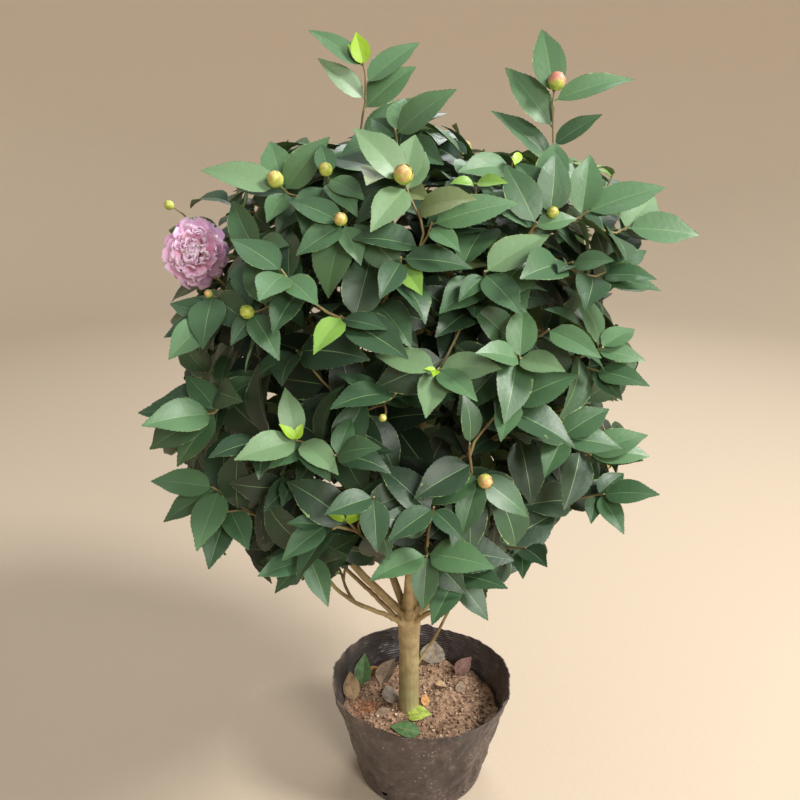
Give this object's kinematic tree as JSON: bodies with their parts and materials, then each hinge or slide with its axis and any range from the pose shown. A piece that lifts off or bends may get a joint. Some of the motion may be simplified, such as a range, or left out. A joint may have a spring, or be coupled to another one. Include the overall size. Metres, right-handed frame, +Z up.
{
  "type": "potted camellia shrub",
  "caption": "Camellia shrub grown as a small round-headed standard in a soft black nursery pot, with glossy leaves, round flower buds and a double pink bloom.",
  "frame": {"origin": "middle of the pot's flat underside, on the ground", "axes": "+Z up along the trunk; -Y is the front, the side seen in the picture; +X is the viewer's right"},
  "size_m": [0.725, 0.7103, 1.1221],
  "materials": {
    "pot_plastic": "matte",
    "potting_mix": "matte",
    "bark": "matte",
    "foliage": "satin"
  },
  "bodies": {
    "root": {"pot": "pot_plastic", "soil": "potting_mix", "trunk": "bark", "central_bough": "bark", "shoulder_bough_1": "bark", "shoulder_bough_2": "bark", "shoulder_bough_3": "bark", "shoulder_bough_4": "bark", "shoulder_mass_1": "foliage", "shoulder_mass_2": "foliage", "shoulder_mass_3": "foliage", "shoulder_mass_4": "foliage", "skirt_bough_1": "bark", "skirt_bough_2": "bark", "skirt_bough_3": "bark", "skirt_bough_4": "bark", "skirt_bough_5": "bark", "skirt_mass_1": "foliage", "skirt_mass_2": "foliage", "skirt_mass_3": "foliage", "skirt_mass_4": "foliage", "skirt_mass_5": "foliage", "sucker": "bark", "sucker_mass": "foliage", "top_bough_2": "bark", "top_mass_1": "foliage", "top_mass_2": "foliage", "waist_bough_1": "bark", "waist_bough_2": "bark", "waist_bough_3": "bark", "waist_bough_4": "bark", "waist_bough_5": "bark", "waist_mass_1": "foliage", "waist_mass_2": "foliage", "waist_mass_3": "foliage", "waist_mass_4": "foliage", "waist_mass_5": "foliage"}
  },
  "joints": []
}
